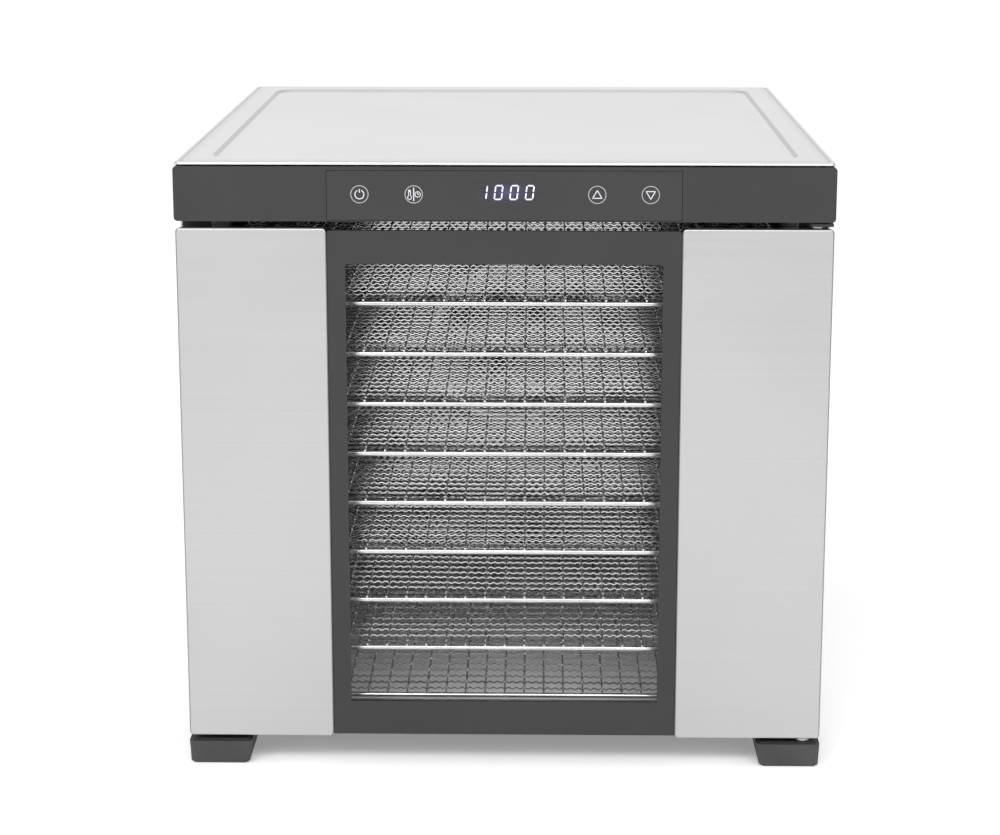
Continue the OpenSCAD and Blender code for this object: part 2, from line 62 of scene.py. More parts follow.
CAMERA_X = 21.9 * MM
CAMERA_HEIGHT = 624 * MM
CAMERA_DISTANCE = 1466 * MM  # from the front of the door
CAMERA_PITCH = math.radians(11.98)
CAMERA_YAW = math.radians(0.96)
LENS = 82.4
SHIFT_Y = -0.10
CLIP_END = 60
LIGHTS = {  # place, aim, width and height, watts
    "key": ((-1.7, -1.9, 2.0), (0, 0, 0.2), (1.6, 1.2), 13),
    "front": ((0.1, -1.7, 1.75), (0, 0, 0.15), (2.4, 0.7), 21),
}
WALL_TONE, CEILING_TONE = 1.0, 0.78
WALL_UP_TO, CEILING_FROM = 0.3, 0.8  # heights on the unit sphere of the world
FLOOR_REACH = 12


def make_camera():
    data = bpy.data.cameras.new("camera")
    data.lens = LENS
    data.shift_y = SHIFT_Y
    data.clip_end = CLIP_END
    camera = bpy.data.objects.new("camera", data)
    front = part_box("control_fascia")[0][1]
    camera.location = (CAMERA_X, front - CAMERA_DISTANCE, CAMERA_HEIGHT)
    camera.rotation_euler = (math.pi / 2 - CAMERA_PITCH, 0, CAMERA_YAW)
    bpy.context.scene.collection.objects.link(camera)
    bpy.context.scene.camera = camera


def area_light(name, place, aim, size, power):
    data = bpy.data.lights.new(name, "AREA")
    data.shape = "RECTANGLE"
    data.size, data.size_y = size
    data.energy = power
    light = bpy.data.objects.new(name, data)
    light.location = place
    light.rotation_euler = (Vector(aim) - Vector(place)).to_track_quat("-Z", "Y").to_euler()
    bpy.context.scene.collection.objects.link(light)


def make_world():
    """White studio walls under a darker ceiling."""
    world = bpy.data.worlds.new("studio")
    world.use_nodes = True
    tree = world.node_tree
    heading = tree.nodes.new("ShaderNodeTexCoord")
    split = tree.nodes.new("ShaderNodeSeparateXYZ")
    ramp = tree.nodes.new("ShaderNodeValToRGB")
    wall, ceiling = ramp.color_ramp.elements
    wall.position, ceiling.position = WALL_UP_TO, CEILING_FROM
    wall.color = grey(WALL_TONE)
    ceiling.color = grey(CEILING_TONE)
    tree.links.new(heading.outputs["Generated"], split.inputs["Vector"])
    tree.links.new(split.outputs["Z"], ramp.inputs["Fac"])
    tree.links.new(ramp.outputs["Color"], tree.nodes["Background"].inputs["Color"])
    bpy.context.scene.world = world
    bpy.context.scene.view_settings.view_transform = "Standard"


def make_floor():
    mesh = bpy.data.meshes.new("floor")
    r = FLOOR_REACH
    mesh.from_pydata([(-r, -r, 0), (r, -r, 0), (r, r, 0), (-r, r, 0)], [], [(0, 1, 2, 3)])
    floor = bpy.data.objects.new("floor", mesh)
    bpy.context.scene.collection.objects.link(floor)
    mesh.materials.append(floor_material())


# ---------- material helpers ----------

NOISE_RANGE = (0.3, 0.7)


class Shader:
    """A node material under construction: its tree, its Principled node and short ways to add to it."""

    def __init__(self, name):
        self.material = bpy.data.materials.new(name)
        self.material.use_nodes = True
        self.tree = self.material.node_tree
        self.main = self.tree.nodes["Principled BSDF"]
        self.place = self.add("ShaderNodeTexCoord").outputs["Object"]

    def add(self, kind, **values):
        """A new node, with its properties and input values set by name."""
        node = self.tree.nodes.new(kind)
        for key, value in values.items():
            if hasattr(node, key):
                setattr(node, key, value)
            else:
                node.inputs[key.replace("_", " ")].default_value = value
        return node

    def link(self, output, node, socket):
        self.tree.links.new(output, node.inputs[socket])

    def set(self, **values):
        """Constant values on the Principled node's own sockets."""
        for key, value in values.items():
            self.main.inputs[key.replace("_", " ")].default_value = value

    def noise(self, scale, detail=2.0):
        """Noise over the object. The scale is in cycles per metre, for all axes or for each."""
        mapping = self.add("ShaderNodeMapping")
        mapping.inputs["Scale"].default_value = scale if isinstance(scale, tuple) else (scale,) * 3
        self.link(self.place, mapping, "Vector")
        noise = self.add("ShaderNodeTexNoise", Scale=1.0, Detail=detail, Roughness=0.5)
        self.link(mapping.outputs["Vector"], noise, "Vector")
        return noise.outputs["Fac"]

    def ramp(self, value, low, high):
        """A blend from low to high, each a grey level or a colour, over the noise's usual range."""
        ramp = self.add("ShaderNodeValToRGB")
        first, last = ramp.color_ramp.elements
        first.position, last.position = NOISE_RANGE
        first.color = low if isinstance(low, tuple) else grey(low)
        last.color = high if isinstance(high, tuple) else grey(high)
        self.link(value, ramp, "Fac")
        return ramp.outputs["Color"]

    def multiply(self, first, second):
        mix = self.add("ShaderNodeMix", data_type="RGBA", blend_type="MULTIPLY")
        mix.inputs[0].default_value = 1.0
        self.link(first, mix, 6)
        self.link(second, mix, 7)
        return mix.outputs[2]

    def mix_shaders(self, share, first, second):
        """Sends a mix of two shader outputs to the surface, in place of the Principled node."""
        self.tree.nodes.remove(self.main)
        mix = self.add("ShaderNodeMixShader")
        for socket, output in enumerate((share, first, second)):
            self.link(output, mix, socket)
        self.link(mix.outputs["Shader"], self.tree.nodes["Material Output"], "Surface")

    def bump(self, height, depth, strength):
        """Relief of that depth in metres from a 0 to 1 height."""
        bump = self.add("ShaderNodeBump", Strength=strength, Distance=depth)
        self.link(height, bump, "Height")
        self.link(bump.outputs["Normal"], self.main, "Normal")


def grey(level, warm=0.0):
    """A grey in linear light, a little towards red where warm is above zero."""
    return (level * (1 + warm), level, level * (1 - warm), 1)


STREAK_LONG, STREAK_FINE = 6, 2400  # brushing: cycles per metre along and across the streaks
SPECK = 900  # cycles per metre
FINE_RELIEF = 0.02 * MM
COATING_WARMTH = 0.01
BEND_SHADE_END = 0.9  # above this share of sideways tilt the steel is a flat side, keeps its tone and gets no painted shade
GRAZING_POWER = 4  # how late the pane's reflection grows towards grazing view
MIRROR_GROWTH, MIRROR_LEAST = 0.6, 0.008  # shares of the light
HALO_COLOUR, HALO_STRENGTH = (0.42, 0.40, 0.72, 1), 0.34


def streak_scale(axis):
    """Noise scale for brush lines that run along an axis."""
    scale = [STREAK_FINE] * 3
    scale["XYZ".index(axis)] = STREAK_LONG
    return tuple(scale)


def paint_bend_shade(shader, colour, strength, start=0.25, full=0.45):
    """Painted shade: darkens the steel's colour where its surface turns towards the side, as on bent edges
    and slopes.
    """
    split = shader.add("ShaderNodeSeparateXYZ")
    shader.link(shader.add("ShaderNodeTexCoord").outputs["Normal"], split, "Vector")
    side = shader.add("ShaderNodeMath", operation="ABSOLUTE")
    shader.link(split.outputs["X"], side, 0)
    ramp = shader.add("ShaderNodeValToRGB")
    points = ramp.color_ramp.elements
    points[0].position, points[1].position = start, 1.0
    for position in (full, BEND_SHADE_END):
        points.new(position).color = grey(1 - strength)
    points[0].color = points[-1].color = grey(1)
    shader.link(side.outputs["Value"], ramp, "Fac")
    return shader.multiply(colour, ramp.outputs["Color"])


def brushed_steel(name, level, axis, rough=(0.3, 0.42), contrast=0.06, painted_shade=None):
    """Steel with fine streaks along an axis. The last argument, if given, holds what the bend-shade
    painter takes after the colour, for painted shade where the surface turns to the side.
    """
    shader = Shader(name)
    streaks = shader.noise(streak_scale(axis), detail=3)
    clouds = shader.noise(9)
    fine = shader.ramp(streaks, level * (1 - contrast), level * (1 + contrast))
    broad = shader.ramp(clouds, 0.97, 1.0)
    colour = shader.multiply(fine, broad)
    # painted shade on the bent edges and slopes
    if painted_shade:
        colour = paint_bend_shade(shader, colour, *painted_shade)
    shader.link(colour, shader.main, "Base Color")
    shader.link(shader.ramp(streaks, *rough), shader.main, "Roughness")
    shader.bump(streaks, FINE_RELIEF, 0.35)
    shader.set(Metallic=1.0)
    return shader.material


def floor_steel_painted_light():
    """Cavity floor steel, pale and not metallic: painted light, brighter than the liner so the floor reads
    lit under the trays, with a fine blasted grain in its roughness and relief.
    """
    shader = Shader("floor_steel_painted_light")
    clouds = shader.noise(12, detail=3)
    grain = shader.noise(2500)
    shader.link(shader.ramp(clouds, 0.93, 0.97), shader.main, "Base Color")
    shader.link(shader.ramp(grain, 0.4, 0.55), shader.main, "Roughness")
    shader.bump(grain, FINE_RELIEF, 0.3)
    return shader.material


def drawn_wire():
    """Smooth bright wire, uneven in tone along its length."""
    shader = Shader("wire_steel")
    cast = shader.noise(60, detail=3)
    shader.link(shader.ramp(cast, 0.64, 0.78), shader.main, "Base Color")
    shader.link(shader.ramp(cast, 0.13, 0.24), shader.main, "Roughness")
    shader.bump(shader.noise(1500), FINE_RELIEF, 0.2)
    shader.set(Metallic=1.0)
    return shader.material


def satin_coating(name, level, rough=(0.42, 0.5), grain=3200, relief=FINE_RELIEF):
    """Fine-grained coating or moulded plastic."""
    shader = Shader(name)
    shader.set(Specular_IOR_Level=0.3)
    clouds = shader.noise(14, detail=3)
    speck = shader.noise(grain)
    tone = shader.ramp(clouds, grey(level * 0.94, COATING_WARMTH), grey(level * 1.06, COATING_WARMTH))
    shader.link(tone, shader.main, "Base Color")
    shader.link(shader.ramp(speck, *rough), shader.main, "Roughness")
    shader.bump(speck, relief, 0.3)
    return shader.material


def rubber(name, level):
    """Dull rubber with coarse pores."""
    shader = Shader(name)
    clouds = shader.noise(40, detail=4)
    pores = shader.noise(1800, detail=3)
    shader.link(shader.ramp(clouds, level * 0.85, level * 1.15), shader.main, "Base Color")
    shader.link(shader.ramp(pores, 0.55, 0.75), shader.main, "Roughness")
    shader.bump(pores, 2 * FINE_RELIEF, 0.5)
    shader.set(Specular_IOR_Level=0.35)
    return shader.material


def coloured(name, low, high, rough=(0.4, 0.55), metallic=0.0):
    """A two-tone finish for the small parts inside."""
    shader = Shader(name)
    blotch = shader.noise(SPECK / 8, detail=4)
    speck = shader.noise(SPECK)
    shader.link(shader.ramp(blotch, low, high), shader.main, "Base Color")
    shader.link(shader.ramp(speck, *rough), shader.main, "Roughness")
    shader.bump(speck, 1.5 * FINE_RELIEF, 0.3)
    shader.set(Metallic=metallic)
    return shader.material


def laminated_iron():
    """Stacked motor laminations, with lines across the shaft."""
    shader = Shader("motor_iron")
    wave = shader.add("ShaderNodeTexWave", Scale=320.0, bands_direction="Y")
    shader.link(shader.place, wave, "Vector")
    shader.link(shader.ramp(wave.outputs["Fac"], 0.1, 0.26), shader.main, "Base Color")
    shader.link(shader.ramp(shader.noise(300), 0.4, 0.6), shader.main, "Roughness")
    shader.bump(wave.outputs["Fac"], 10 * FINE_RELIEF, 0.5)
    shader.set(Metallic=0.8)
    return shader.material


def window_glass():
    """Clear pane: a faint grey tint, with a reflection that grows towards grazing view."""
    shader = Shader("window_glass")
    haze = shader.noise(30, detail=3)
    clear = shader.add("ShaderNodeBsdfTransparent")
    shader.link(shader.ramp(haze, 0.97, 0.98), clear, "Color")
    gloss = shader.add("ShaderNodeBsdfGlossy", Roughness=0.02)
    tilt = shader.add("ShaderNodeLayerWeight", Blend=0.5)
    grazing = shader.add("ShaderNodeMath", operation="POWER")
    grazing.inputs[1].default_value = GRAZING_POWER
    shader.link(tilt.outputs["Facing"], grazing, 0)
    share = shader.add("ShaderNodeMath", operation="MULTIPLY_ADD")
    share.inputs[1].default_value = MIRROR_GROWTH
    share.inputs[2].default_value = MIRROR_LEAST
    shader.link(grazing.outputs["Value"], share, 0)
    shader.mix_shaders(share.outputs["Value"], clear.outputs["BSDF"], gloss.outputs["BSDF"])
    return shader.material


def glowing(name, low, high, strength):
    """Lit marks, a little uneven."""
    shader = Shader(name)
    tone = shader.ramp(shader.noise(SPECK), low, high)
    shader.link(tone, shader.main, "Base Color")
    shader.link(tone, shader.main, "Emission Color")
    shader.set(Emission_Strength=strength, Roughness=0.4)
    return shader.material


def display_halo():
    """Violet light that bleeds round the digits and fades to nothing."""
    shader = Shader("display_halo")
    generated = shader.add("ShaderNodeTexCoord").outputs["Generated"]
    mapping = shader.add("ShaderNodeMapping")
    mapping.inputs["Location"].default_value = (-1, 0, -1)
    mapping.inputs["Scale"].default_value = (2, 0, 2)
    shader.link(generated, mapping, "Vector")
    fall = shader.add("ShaderNodeTexGradient", gradient_type="QUADRATIC_SPHERE")
    shader.link(mapping.outputs["Vector"], fall, "Vector")
    clear = shader.add("ShaderNodeBsdfTransparent")
    light = shader.add("ShaderNodeEmission", Strength=HALO_STRENGTH)
    light.inputs["Color"].default_value = HALO_COLOUR
    shader.mix_shaders(fall.outputs["Fac"], clear.outputs["BSDF"], light.outputs["Emission"])
    return shader.material


def floor_material():
    """White paper that glows a little, so that the floor meets the wall without a line."""
    shader = Shader("floor")
    pale = shader.ramp(shader.noise(3, detail=3), 0.92, 0.94)
    shader.link(pale, shader.main, "Base Color")
    shader.link(pale, shader.main, "Emission Color")
    shader.set(Roughness=0.9, Specular_IOR_Level=0.1, Emission_Strength=0.24)
    return shader.material


def make_materials():
    """One material for each of the record's slots."""
    return {
        # the top and door steels carry painted shade where their bends and slopes turn to the side
        "top_steel": brushed_steel("top_steel", 0.8, "X", (0.34, 0.46), 0.03, painted_shade=(0.3, 0.12, 0.4)),
        "case_steel": brushed_steel("case_steel", 0.58, "Y"),
        "door_steel": brushed_steel("door_steel", 0.51, "X", (0.36, 0.5), 0.04, painted_shade=(0.45,)),
        "liner_steel": brushed_steel("liner_steel", 0.44, "X", (0.3, 0.45), 0.04),
        "zinc_steel": brushed_steel("zinc_steel", 0.42, "X", (0.3, 0.45), 0.08),
        "retainer_alloy": brushed_steel("retainer_alloy", 0.5, "Z"),
        "fan_alloy": brushed_steel("fan_alloy", 0.3, "Y", (0.3, 0.4), 0.06),
        "wire_steel": drawn_wire(),
        "dark_steel": satin_coating("dark_steel", 0.03),
        "band_paint": satin_coating("band_paint", 0.034),
        "touch_gloss": satin_coating("touch_gloss", 0.036, (0.3, 0.36), 5200, FINE_RELIEF / 2),
        "centre_plastic": satin_coating("centre_plastic", 0.034),
        "black_plastic": satin_coating("black_plastic", 0.02, (0.35, 0.5)),
        "white_plastic": satin_coating("white_plastic", 0.7, (0.4, 0.5)),
        "foot_rubber": rubber("foot_rubber", 0.05),
        "seal_rubber": rubber("seal_rubber", 0.06),
        "heater_tube": coloured("heater_tube", 0.1, (0.24, 0.2, 0.17, 1), (0.3, 0.5), 0.9),
        "board_green": coloured("board_green", (0.01, 0.07, 0.03, 1), (0.02, 0.12, 0.05, 1)),
        "motor_iron": laminated_iron(),
        "window_glass": window_glass(),
    }


PALETTE = make_materials()


# ---------- mesh helpers ----------

SAME_POINT = 0.001 * MM


def new_piece(name, mesh, slot, body, material=None):
    """A piece that rides a body, in its slot's material unless another is given."""
    piece = bpy.data.objects.new(name, mesh)
    bpy.context.scene.collection.objects.link(piece)
    mesh.materials.append(material or PALETTE[slot])
    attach(piece, body)
    return piece


def turns(count):
    """The angles of equal steps round a circle."""
    return [2 * math.pi * k / count for k in range(count)]


def join_rings(bm, rings):
    """Faces between each closed ring of bmesh vertices and the next."""
    for first, second in zip(rings, rings[1:]):
        for k in range(len(first)):
            nxt = (k + 1) % len(first)
            bm.faces.new((first[k], first[nxt], second[nxt], second[k]))


def smooth(mesh, angle):
    """Smooth shading, with edges sharper than the angle kept sharp."""
    mesh.polygons.foreach_set("use_smooth", [True] * len(mesh.polygons))
    mesh.set_sharp_from_angle(angle=math.radians(angle))


def mesh_from(name, points, faces, angle=60):
    mesh = bpy.data.meshes.new(name)
    mesh.from_pydata([tuple(point) for point in points], [], faces)
    smooth(mesh, angle)
    return mesh


def mesh_from_bmesh(name, bm):
    mesh = bpy.data.meshes.new(name)
    bm.to_mesh(mesh)
    bm.free()
    return mesh


def loft_faces(rings, around):
    """Faces between each closed ring of points and the next."""
    faces = []
    for start in range(0, (rings - 1) * around, around):
        for k in range(around):
            nxt = (k + 1) % around
            faces.append((start + k, start + nxt, start + around + nxt, start + around + k))
    return faces


def thicken(piece, thickness, offset=-1):
    sheet = piece.modifiers.new("sheet", "SOLIDIFY")
    sheet.thickness = thickness
    sheet.offset = offset


def soften(node, width):
    """Rounds a CAD node's sharp edges for the light to catch."""
    bevel = NODES[node].modifiers.new("edge", "BEVEL")
    bevel.width = width
    bevel.segments = 2
    bevel.limit_method = "ANGLE"
    bevel.angle_limit = math.radians(50)
    bevel.harden_normals = True


class Wires:
    """Round wires gathered into one mesh."""

    def __init__(self):
        self.points, self.faces = [], []

    def sweep(self, path, radius, sides, closed=False):
        """A tube along a path of Vectors. The rings stay square to the path and don't twist."""
        count = len(path)
        start = len(self.points)
        side = None
        for i, point in enumerate(path):
            before = path[i - 1] if i or closed else path[0]
            after = path[(i + 1) % count] if i < count - 1 or closed else path[-1]
            along = (after - before).normalized()
            if side is None:
                side = along.orthogonal().normalized()
            side = (side - along * side.dot(along)).normalized()
            up = along.cross(side)
            for turn in turns(sides):
                self.points.append(point + (side * math.cos(turn) + up * math.sin(turn)) * radius)
        for i in range(count if closed else count - 1):
            low, high = start + i * sides, start + (i + 1) % count * sides
            for k in range(sides):
                nxt = (k + 1) % sides
                self.faces.append((low + k, low + nxt, high + nxt, high + k))
        if not closed:
            self.faces.append(tuple(start + k for k in reversed(range(sides))))
            self.faces.append(tuple(start + (count - 1) * sides + k for k in range(sides)))

    def mesh(self, name):
        return mesh_from(name, self.points, self.faces)


def round_loop(x, y0, y1, z, radius):
    """Points round a rectangle with round corners, in a level plane."""
    points = []
    steps = 8
    for cx, cy, turn in ((x, y1, 0), (-x, y1, 90), (-x, y0, 180), (x, y0, 270)):
        centre = Vector((cx - math.copysign(radius, cx), cy + (radius if cy == y0 else -radius), z))
        for k in range(steps + 1):
            angle = math.radians(turn + 90 * k / steps)
            points.append(centre + Vector((math.cos(angle), math.sin(angle), 0)) * radius)
    return points


def upright_circle(centre, radius, y, steps):
    """Points round a circle that faces the front."""
    return [Vector((centre.x + math.cos(turn) * radius, y, centre.z + math.sin(turn) * radius))
            for turn in turns(steps)]


# ---------- trays ----------

RIM_R = 2.0 * MM
RIM_CORNER_R = 10 * MM
WIRE_R = 0.7 * MM
WIRE_SINK = 0.4 * MM
WIRE_MARGIN = 12 * MM
WIRES_ACROSS = 27
CROSS_R = 0.55 * MM
CROSS_ROWS = 29
CROSS_MARGIN = 6.5 * MM
RIM_SIDES, WIRE_SIDES, CROSS_SIDES = 12, 8, 5
WAVES_PER_GAP = 2.5
WAVE_HEIGHT = 0.52 * MM
CROSSING_HEIGHT = 1.0 * MM
CROSSING_REACH = 1.3 * MM
POINTS_PER_GAP = 15
WELD_START = 4 * MM  # how far before the rim a crossing wire starts to climb
WELD_CLIMB = 3 * MM
WELD_REACH = RIM_R * 0.7
ROW_WANDER = 0.4 * MM
ROW_LEAN = 0.7 * MM
NET_BULGE = 2.6 * MM
BULGE_REACH = 60 * MM
NET_SAG = 0.8 * MM


def crimped_path(row, y, wire_x, rod_x, wire_z, end_z):
    """A wavy wire that goes over one straight wire and under the next, welded to the rim at its ends."""
    pitch = wire_x[1] - wire_x[0]
    step = pitch / POINTS_PER_GAP
    spare = int((rod_x + wire_x[0]) / step)
    last = (len(wire_x) - 1) * POINTS_PER_GAP
    path = []
    for k in range(-spare, last + spare + 1):
        x = wire_x[0] + k * step
        phase = 2 * math.pi * WAVES_PER_GAP * k / POINTS_PER_GAP + math.pi * row
        near = min(k % POINTS_PER_GAP, -k % POINTS_PER_GAP) * step if 0 <= k <= last else pitch
        extra = (CROSSING_HEIGHT - WAVE_HEIGHT) * math.exp(-((near / CROSSING_REACH) ** 2))
        z = wire_z + (WAVE_HEIGHT + extra) * math.cos(phase)
        weld = min(1, max(0, (abs(x) - rod_x + WELD_START) / WELD_CLIMB))
        path.append(Vector((x, y, z + (end_z - z) * weld)))
    return path


def crossing_paths(chance, wire_x, x, y0, y1, wire_z, end_z):
    """The crimped wires. Each wanders and leans a little, and all of them bulge to one side."""
    bulge = chance.uniform(-1, 1) * NET_BULGE
    bulge_x = chance.uniform(-0.5, 0.5) * x
    paths = []
    for row in range(CROSS_ROWS):
        y = y0 + CROSS_MARGIN + row * (y1 - y0 - 2 * CROSS_MARGIN) / (CROSS_ROWS - 1)
        y += chance.uniform(-1, 1) * ROW_WANDER
        lean = chance.uniform(-1, 1) * ROW_LEAN
        path = crimped_path(row, y, wire_x, x, wire_z, end_z)
        for point in path:
            point.y += lean * point.x / x + bulge * math.exp(-(((point.x - bulge_x) / BULGE_REACH) ** 2))
        paths.append(path)
    return paths


def tray_mesh(name, chance):
    """One woven wire tray: a thick round rim and a net that sags a little in its own way."""
    low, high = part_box(name)
    z = low[2] + RIM_R
    x, y0, y1 = high[0] - RIM_R, low[1] + RIM_R, high[1] - RIM_R
    wires = Wires()
    wires.sweep(round_loop(x, y0, y1, z, RIM_CORNER_R), RIM_R, RIM_SIDES, closed=True)
    span = 2 * (high[0] - WIRE_MARGIN)
    wire_z = z + RIM_R + WIRE_R - WIRE_SINK
    wire_x = [-span / 2 + k * span / (WIRES_ACROSS - 1) for k in range(WIRES_ACROSS)]
    middle, half = (y0 + y1) / 2, (y1 - y0) / 2
    drop = chance.uniform(0.2, 1) * NET_SAG
    reach = half + WELD_REACH
    net = [([Vector((across, middle + reach * k / 4, wire_z)) for k in range(-4, 5)], WIRE_R, WIRE_SIDES)
           for across in wire_x]
    net += [(path, CROSS_R, CROSS_SIDES)
            for path in crossing_paths(chance, wire_x, x, y0, y1, wire_z, z + RIM_R)]
    for path, radius, sides in net:
        for point in path:
            point.z -= drop * max(0, 1 - (point.x / x) ** 2) * max(0, 1 - ((point.y - middle) / half) ** 2)
        wires.sweep(path, radius, sides)
    return wires.mesh(name + "_wires")


def make_trays():
    """A wire tray in place of each CAD tray, riding its own body."""
    for number, name in enumerate(TRAYS):
        mesh = tray_mesh(name, random.Random(number))
        piece = new_piece(name + "_wires", mesh, "wire_steel", name)
        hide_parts(name)


# ---------- top cover ----------

COVER_LIP = 1.8 * MM
LIP_CLEARANCE = 0.05 * MM
COVER_EDGE_R = 0.9 * MM
COVER_CORNER_R = 3 * MM
RECESS_CORNER_R = 16 * MM
RECESS_START = 20 * MM
RECESS_END = 23.4 * MM
RECESS_DEPTH = 1.7 * MM
GROOVE_AT = 3.2 * MM
GROOVE_HALF = 1.1 * MM
GROOVE_DEPTH = 0.7 * MM
COVER_SHEET = 1.1 * MM


def cover_profile(top_z):
    """(distance in from the edge, height) pairs, from the lower edge of the lip to the recess floor."""
    profile = [(0, top_z - COVER_LIP + LIP_CLEARANCE), (0, top_z - COVER_EDGE_R)]
    for k in range(1, 6):
        turn = math.radians(18 * k)
        profile.append((COVER_EDGE_R * (1 - math.cos(turn)), top_z - COVER_EDGE_R * (1 - math.sin(turn))))
    for k in range(7):
        along = k / 6
        dip = GROOVE_DEPTH * math.sin(math.pi * along) ** 2
        profile.append((GROOVE_AT + GROOVE_HALF * (2 * along - 1), top_z - dip))
    for k in range(13):
        along = k / 12
        drop = RECESS_DEPTH * along * along * (3 - 2 * along)
        profile.append((RECESS_START + (RECESS_END - RECESS_START) * along, top_z - drop))
    return profile


def make_top_cover():
    """Pressed sheet with a rolled lip, a fine groove behind it and a soft step down to the recess."""
    low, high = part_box("top_cover")
    points = []
    profile = cover_profile(high[2])
    for inset, z in profile:
        corner = COVER_CORNER_R + (RECESS_CORNER_R - COVER_CORNER_R) * min(1, inset / RECESS_START)
        points += round_loop(high[0] - inset, low[1] + inset, high[1] - inset, z, corner)
    around = len(points) // len(profile)
    recess = tuple(range(len(points) - around, len(points)))
    mesh = mesh_from("top_cover_pressed", points, loft_faces(len(profile), around) + [recess])
    piece = new_piece("top_cover_pressed", mesh, "top_steel", "cabinet")
    thicken(piece, COVER_SHEET)
    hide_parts("top_cover")


# ---------- door plates ----------

PLATE_BEND_R = 1.5 * MM
PLATE_CORNER_R = 3 * MM
PLATE_SHEET = 1.1 * MM
SIDE_RETURN = 14.4 * MM
TOP_RETURN = 3.4 * MM
PIN_GAP = 0.6 * MM
SHEET_EDGE = 0.15 * MM
LEAST_CORNER_R = 0.2 * MM
BEND_OVERLAP = 1.05  # bend radii that the front sheet runs back into the returns


def add_front_sheet(bm, low, high):
    """The flat front of a plate, with bent edges all round."""
    half_x, half_z = (high[0] - low[0]) / 2, (high[2] - low[2]) / 2
    middle = Vector(((low[0] + high[0]) / 2, low[1], (low[2] + high[2]) / 2))
    steps = [(0, PLATE_BEND_R * BEND_OVERLAP)]
    for k in range(7):
        turn = math.radians(15 * k)
        steps.append((PLATE_BEND_R * (1 - math.cos(turn)), PLATE_BEND_R * (1 - math.sin(turn))))
    rings = []
    for inset, depth in steps:
        corner = max(PLATE_CORNER_R - inset, LEAST_CORNER_R)
        loop = round_loop(half_x - inset, inset - half_z, half_z - inset, depth, corner)
        rings.append([bm.verts.new(middle + Vector((p.x, p.z, p.y))) for p in loop])
    join_rings(bm, rings)
    bm.faces.new(rings[-1])
    bmesh.ops.recalc_face_normals(bm, faces=bm.faces)
    bm.normal_update()
    bmesh.ops.solidify(bm, geom=bm.faces[:], thickness=PLATE_SHEET)


def bottom_return(side, near, far, front, back):
    """The rectangles of a plate's bottom return, which leaves a notch round the hinge pin."""
    if side < 0:
        return [((near, front), (far, back))]
    pin_low, pin_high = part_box("hinge_pins")
    left, right = pin_low[0] - PIN_GAP, pin_high[0] + PIN_GAP
    return [((near, front), (left, back)), ((left, front), (right, pin_low[1] - PIN_GAP)),
            ((right, front), (far, back))]


def add_box(bm, a, b):
    """A box between two corners, with its edges slightly rounded."""
    size = [abs(b[i] - a[i]) for i in range(3)]
    middle = [(b[i] + a[i]) / 2 for i in range(3)]
    place = Matrix.Translation(middle) @ Matrix.Diagonal((*size, 1))
    box = bmesh.ops.create_cube(bm, size=1, matrix=place)
    edges = list({edge for vert in box["verts"] for edge in vert.link_edges})
    bmesh.ops.bevel(bm, geom=edges, offset=SHEET_EDGE, segments=1, affect="EDGES")


def pan_mesh(low, high, side):
    """A bent plate: its front sheet, and returns on its outer side, bottom and top."""
    bm = bmesh.new()
    add_front_sheet(bm, low, high)
    outer, inner = (high[0], low[0]) if side > 0 else (low[0], high[0])
    front, back = low[1] + PLATE_BEND_R, low[1] + SIDE_RETURN
    near, far = inner + side * PLATE_CORNER_R, outer - side * PLATE_CORNER_R
    add_box(bm, (outer - side * PLATE_SHEET, front, low[2] + PLATE_CORNER_R),
            (outer, back, high[2] - PLATE_CORNER_R))
    for a, b in bottom_return(side, near, far, front, back):
        add_box(bm, (*a, low[2]), (*b, low[2] + PLATE_SHEET))
    add_box(bm, (near, front, high[2] - PLATE_SHEET), (far, low[1] + TOP_RETURN, high[2]))
    bmesh.ops.recalc_face_normals(bm, faces=bm.faces)
    mesh = mesh_from_bmesh("door_plate", bm)
    smooth(mesh, 35)
    return mesh


def make_door_plates():
    """Bent plates in place of the CAD's two flat ones."""
    for name, side in (("door_plate_left", -1), ("door_plate_right", 1)):
        low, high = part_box(name)
        piece = new_piece(name + "_bent", pan_mesh(low, high, side), "door_steel", "door")
        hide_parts(name)


# ---------- fan guard ----------

INLET_WIDTH = 12 * MM
INLET_DROP = 2.6 * MM
INLET_CREST = 0.6  # share of the width, from the bore, at which the ring stands out most
INLET_SHEET = 0.8 * MM
GUARD_WIRE_R = 0.9 * MM
GUARD_HUB = 9 * MM
GUARD_RINGS = 6
GUARD_SPOKES = 6
GUARD_STEPS, GUARD_SIDES, SPOKE_SIDES = 96, 12, 10
INLET_STEPS = 120


def make_inlet_ring(centre, outer, front):
    """Pressed ring round the guard, bulging towards the trays and rolled in at its bore."""
    inner = outer - INLET_WIDTH
    profile = []  # (radius, distance behind the front) pairs, from the bore to the outer edge
    for k in range(7):
        turn = math.radians(15 * k)
        profile.append((inner - INLET_SHEET * math.cos(turn),
                        INLET_DROP + INLET_SHEET * (1 - math.sin(turn))))
    for k in range(1, 17):
        across = k / 16
        profile.append((inner + INLET_WIDTH * across, INLET_DROP * (across / INLET_CREST - 1) ** 2))
    points = []
    for radius, back in profile:
        points += upright_circle(centre, radius, front + back, INLET_STEPS)
    outward = [(a, d, c, b) for a, b, c, d in loft_faces(len(profile), INLET_STEPS)]
    piece = new_piece("fan_inlet_ring", mesh_from("fan_inlet_ring", points, outward),
                      "wire_steel", "cabinet")
    thicken(piece, INLET_SHEET)


